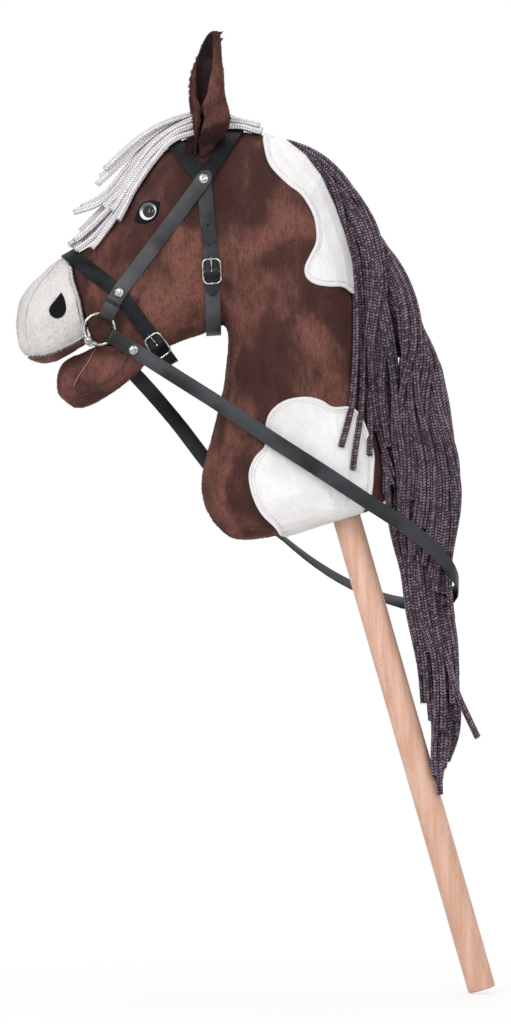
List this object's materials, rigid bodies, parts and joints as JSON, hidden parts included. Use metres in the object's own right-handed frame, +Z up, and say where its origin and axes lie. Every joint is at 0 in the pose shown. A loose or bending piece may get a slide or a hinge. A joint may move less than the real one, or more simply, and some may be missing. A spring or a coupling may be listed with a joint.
{
  "type": "hobby horse",
  "caption": "Stuffed horse head and neck on a round wooden stick, with a cord mane and forelock, folded ears and a strap bridle with a bit and one long rein.",
  "frame": {"origin": "centre of the stick's foot", "axes": "+Z up, -X the way the horse faces, -Y its left side; the stick leans back by 16 degrees towards its foot, as pictured"},
  "size_m": [0.4794, 0.1464, 0.962],
  "materials": {
    "stick": "bare beech, sanded",
    "brown_plush": "short mottled pile",
    "white_plush": "short pile",
    "dark_lining": "matte",
    "black_felt": "matte",
    "eye_plastic": "glossy",
    "black_leather": "satin",
    "nickel": "polished nickel",
    "mane_cord": "braided cord",
    "white_cord": "braided cord"
  },
  "bodies": {
    "horse": {"stick": "stick", "neck_plush": "brown_plush", "head_plush": "brown_plush", "upper_lip_plush": "brown_plush", "lower_jaw_plush": "brown_plush", "ear_left": "brown_plush", "ear_right": "brown_plush", "muzzle_plush": "white_plush", "crest_patch_left": "white_plush", "shoulder_patch_left": "white_plush", "crest_patch_right": "white_plush", "shoulder_patch_right": "white_plush", "ear_lining_left": "dark_lining", "ear_lining_right": "dark_lining", "nostril_left": "black_felt", "nostril_right": "black_felt", "eye_backing_left": "black_felt", "eye_backing_right": "black_felt", "eye_left": "eye_plastic", "eye_right": "eye_plastic", "eye_washer_left": "eye_plastic", "eye_washer_right": "eye_plastic", "browband": "black_leather", "crown_strap": "black_leather", "noseband": "black_leather", "throatlatch": "black_leather", "throatlatch_billet": "black_leather", "cheekpiece_left": "black_leather", "cheekpiece_right": "black_leather", "bit_bar": "nickel", "chin_buckle": "nickel", "throat_buckle": "nickel", "rivet_upper_left": "nickel", "rivet_lower_left": "nickel", "rivet_upper_right": "nickel", "rivet_lower_right": "nickel", "mane_front_left": "mane_cord", "mane_second_left": "mane_cord", "mane_middle_left": "mane_cord", "mane_fourth_left": "mane_cord", "mane_back_left": "mane_cord", "mane_front_right": "mane_cord", "mane_second_right": "mane_cord", "mane_middle_right": "mane_cord", "mane_fourth_right": "mane_cord", "mane_back_right": "mane_cord", "forelock_left": "white_cord", "forelock_middle": "white_cord", "forelock_right": "white_cord"},
    "bit_ring_left": {"bit_ring_left": "nickel"},
    "bit_ring_right": {"bit_ring_right": "nickel"},
    "rein": {"rein": "black_leather", "rein_rivet_left": "nickel", "rein_rivet_right": "nickel"},
    "throat_prong": {"throat_prong": "nickel"},
    "chin_prong": {"chin_prong": "nickel"}
  },
  "joints": [
    {"name": "ring_turn_left", "type": "hinge", "parent": "horse", "child": "bit_ring_left", "pos_m": [-0.38169, -0.044, 0.65955], "axis": [0, 1, 0], "continuous": true},
    {"name": "ring_turn_right", "type": "hinge", "parent": "horse", "child": "bit_ring_right", "pos_m": [-0.38169, 0.044, 0.65955], "axis": [0, 1, 0], "continuous": true},
    {"name": "rein_swing", "type": "hinge", "parent": "horse", "child": "rein", "pos_m": [-0.38169, 0, 0.65955], "axis": [0, -1, 0], "range_deg": [0, 8]},
    {"name": "throat_prong_lift", "type": "hinge", "parent": "horse", "child": "throat_prong", "pos_m": [-0.2699, -0.05107, 0.71667], "axis": [0.9983, -0.0001, 0.0584], "range_deg": [0, 40]},
    {"name": "chin_prong_lift", "type": "hinge", "parent": "horse", "child": "chin_prong", "pos_m": [-0.32386, -0.03498, 0.6431], "axis": [0.8161, -0.1292, 0.5632], "range_deg": [0, 40]}
  ]
}
